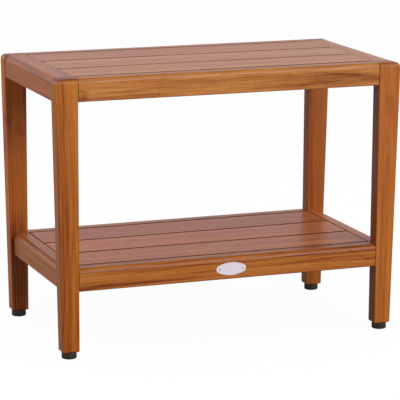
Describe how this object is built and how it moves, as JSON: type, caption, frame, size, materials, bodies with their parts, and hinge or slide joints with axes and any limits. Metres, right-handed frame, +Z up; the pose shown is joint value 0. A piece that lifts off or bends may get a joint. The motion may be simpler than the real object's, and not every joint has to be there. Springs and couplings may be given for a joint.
{
  "type": "shower bench",
  "caption": "Slatted teak shower bench: a flush framed seat and a low slatted shelf on tapered legs, with an oval badge plate and screw-adjusted feet.",
  "frame": {"origin": "on the floor, under the middle of the bench's width and depth, with the four feet screwed right in", "axes": "+X along the bench towards its right end seen from the front, +Y towards the back, +Z up to the seat"},
  "size_m": [0.6096, 0.316, 0.464],
  "materials": {
    "teak_rails": "oiled teak, sanded, grain along the rail, satin",
    "teak_legs": "oiled teak, sanded, grain up the leg, satin",
    "teak_slats": "oiled teak, sanded, grain along the slat, satin",
    "teak_underside": "teak, planed, no oil, matt",
    "steel": "stainless steel, turned",
    "badge_metal": "pale satin metal, bare",
    "brass": "turned brass",
    "rubber": "black rubber, moulded, matt",
    "nylon": "black nylon, moulded, satin"
  },
  "bodies": {
    "root": {"front_left_leg": "teak_legs", "front_right_leg": "teak_legs", "back_left_leg": "teak_legs", "back_right_leg": "teak_legs", "seat_front_rail": "teak_rails", "seat_back_rail": "teak_rails", "seat_left_rail": "teak_rails", "seat_right_rail": "teak_rails", "seat_front_slat": "teak_slats", "seat_middle_slat": "teak_slats", "seat_back_slat": "teak_slats", "seat_left_cleat": "teak_underside", "seat_right_cleat": "teak_underside", "seat_batten": "teak_underside", "shelf_front_rail": "teak_rails", "shelf_back_rail": "teak_rails", "shelf_left_rail": "teak_rails", "shelf_right_rail": "teak_rails", "shelf_front_slat": "teak_slats", "shelf_middle_slat": "teak_slats", "shelf_back_slat": "teak_slats", "shelf_left_cleat": "teak_underside", "shelf_right_cleat": "teak_underside", "shelf_batten": "teak_underside", "seat_slat_screws": "steel", "shelf_slat_screws": "steel", "cleat_screws": "steel", "badge_plate": "badge_metal", "badge_pins": "badge_metal", "foot_inserts": "brass"},
    "front_left_foot_base": {"front_left_foot_sole": "rubber"},
    "front_left_foot_screw": {"front_left_foot_cap": "nylon", "front_left_foot_stud": "steel"},
    "front_right_foot_base": {"front_right_foot_sole": "rubber"},
    "front_right_foot_screw": {"front_right_foot_cap": "nylon", "front_right_foot_stud": "steel"},
    "back_left_foot_base": {"back_left_foot_sole": "rubber"},
    "back_left_foot_screw": {"back_left_foot_cap": "nylon", "back_left_foot_stud": "steel"},
    "back_right_foot_base": {"back_right_foot_sole": "rubber"},
    "back_right_foot_screw": {"back_right_foot_cap": "nylon", "back_right_foot_stud": "steel"}
  },
  "joints": [
    {"name": "front_left_foot_lower", "type": "slide", "parent": "root", "child": "front_left_foot_base", "axis": [0, 0, -1], "range_m": [0, 0.01]},
    {"name": "front_left_foot_turn", "type": "hinge", "parent": "front_left_foot_base", "child": "front_left_foot_screw", "pos_m": [-0.2805, -0.1455, 0.0115], "axis": [0, 0, -1], "range_deg": [0, 2880]},
    {"name": "front_right_foot_lower", "type": "slide", "parent": "root", "child": "front_right_foot_base", "axis": [0, 0, -1], "range_m": [0, 0.01]},
    {"name": "front_right_foot_turn", "type": "hinge", "parent": "front_right_foot_base", "child": "front_right_foot_screw", "pos_m": [0.2805, -0.1455, 0.0115], "axis": [0, 0, -1], "range_deg": [0, 2880]},
    {"name": "back_left_foot_lower", "type": "slide", "parent": "root", "child": "back_left_foot_base", "axis": [0, 0, -1], "range_m": [0, 0.01]},
    {"name": "back_left_foot_turn", "type": "hinge", "parent": "back_left_foot_base", "child": "back_left_foot_screw", "pos_m": [-0.2805, 0.1455, 0.0115], "axis": [0, 0, -1], "range_deg": [0, 2880]},
    {"name": "back_right_foot_lower", "type": "slide", "parent": "root", "child": "back_right_foot_base", "axis": [0, 0, -1], "range_m": [0, 0.01]},
    {"name": "back_right_foot_turn", "type": "hinge", "parent": "back_right_foot_base", "child": "back_right_foot_screw", "pos_m": [0.2805, 0.1455, 0.0115], "axis": [0, 0, -1], "range_deg": [0, 2880]}
  ],
  "couplings": [
    {"joint": "front_left_foot_turn", "follows": "front_left_foot_lower", "rad_per_m": 5026.5},
    {"joint": "front_right_foot_turn", "follows": "front_right_foot_lower", "rad_per_m": 5026.5},
    {"joint": "back_left_foot_turn", "follows": "back_left_foot_lower", "rad_per_m": 5026.5},
    {"joint": "back_right_foot_turn", "follows": "back_right_foot_lower", "rad_per_m": 5026.5}
  ]
}
